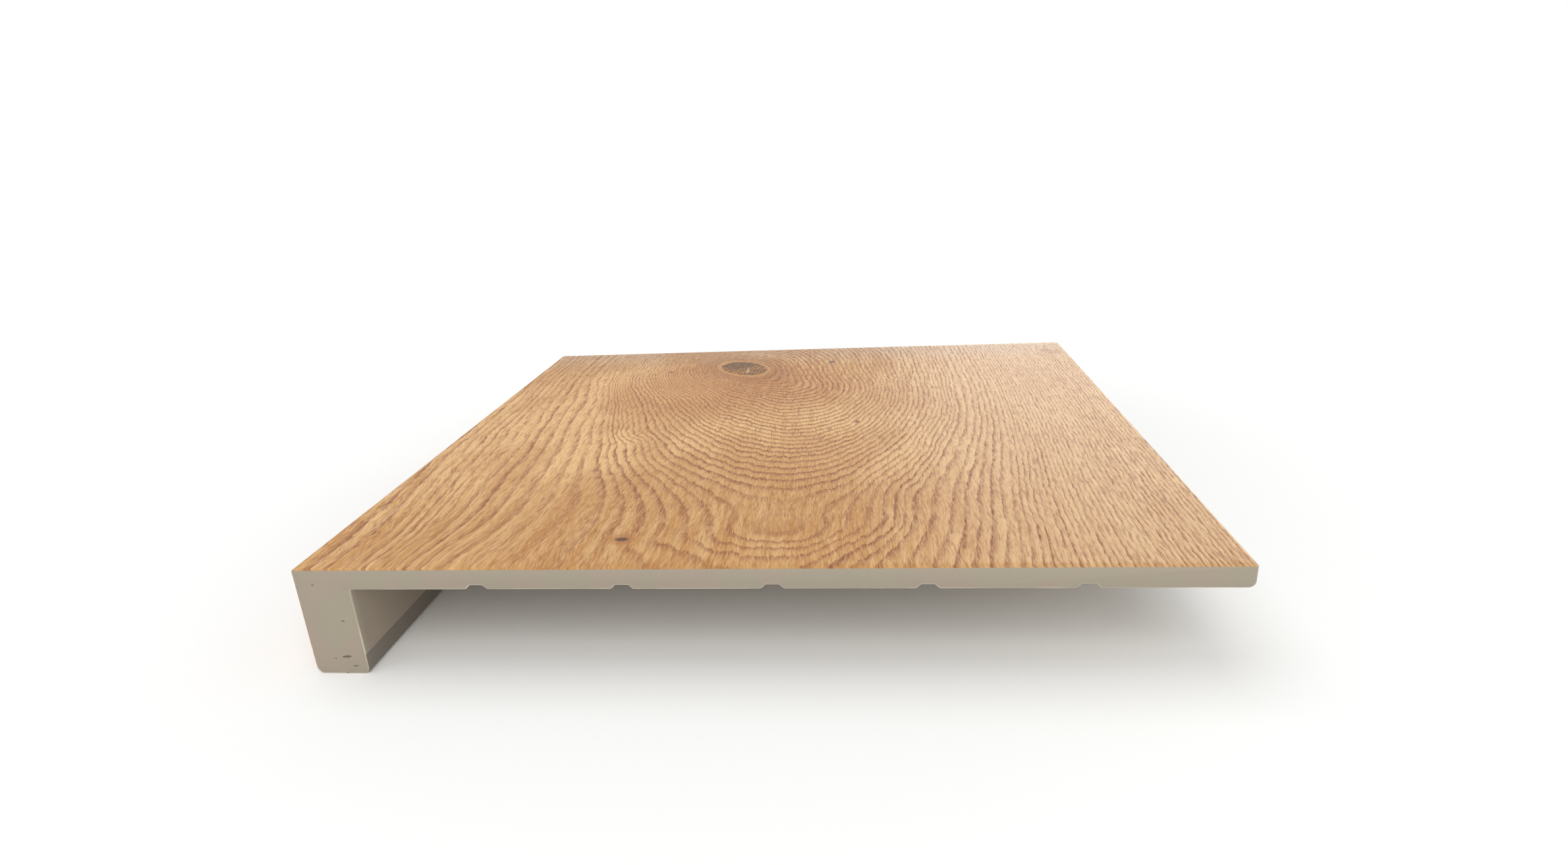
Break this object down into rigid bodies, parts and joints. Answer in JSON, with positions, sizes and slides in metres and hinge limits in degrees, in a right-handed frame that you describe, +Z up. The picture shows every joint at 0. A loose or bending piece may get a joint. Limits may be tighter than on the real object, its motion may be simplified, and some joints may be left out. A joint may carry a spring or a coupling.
{
  "type": "stair tread",
  "caption": "L-shaped porcelain stair tread with a square drop nosing, a matt oak-effect top and adhesive grooves along its underside.",
  "frame": {"origin": "middle of the footprint, level with the foot of the nosing", "axes": "+X along the nosing, +Y from the nosing face towards the back edge, +Z up, square to the walked-on top"},
  "size_m": [0.3, 0.33, 0.0435],
  "materials": {
    "porcelain": "matt oak-effect print with light relief on the top and nosing face, bare warm grey body on every other face"
  },
  "bodies": {
    "root": {"stair_tread": "porcelain"}
  },
  "joints": []
}
